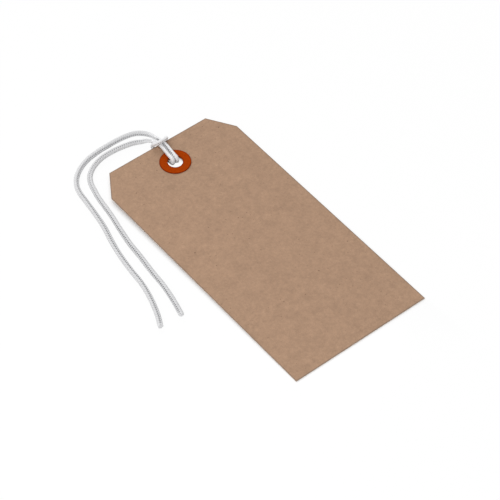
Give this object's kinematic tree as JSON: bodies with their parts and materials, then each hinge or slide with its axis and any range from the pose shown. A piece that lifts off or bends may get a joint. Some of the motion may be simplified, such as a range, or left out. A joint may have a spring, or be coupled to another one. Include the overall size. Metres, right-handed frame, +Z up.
{
  "type": "strung paper tag",
  "caption": "Flat kraft card tag with cut corners and a patched hole at one end, and a white string hitched through the hole for tying it on.",
  "frame": {"origin": "middle of the card's footprint, on the surface that the tag lies on", "axes": "+Z up, out of the surface; +Y along the card from its square end to its hole end; +X across the card. The card leans on the string under its hole end, so its faces are turned about X by just over a degree."},
  "size_m": [0.0836, 0.1347, 0.0062],
  "materials": {
    "kraft_card": "matt uncoated brown kraft board with fine fibres and flecks",
    "patch_fibre": "dense orange-red vulcanised fibre, matt with a faint sheen",
    "white_string": "fine round braid, matt white"
  },
  "bodies": {
    "root": {"tag_card": "kraft_card", "front_patch": "patch_fibre", "back_patch": "patch_fibre", "string_hitch": "white_string", "string_tail_outer": "white_string", "string_tail_inner": "white_string"}
  },
  "joints": []
}
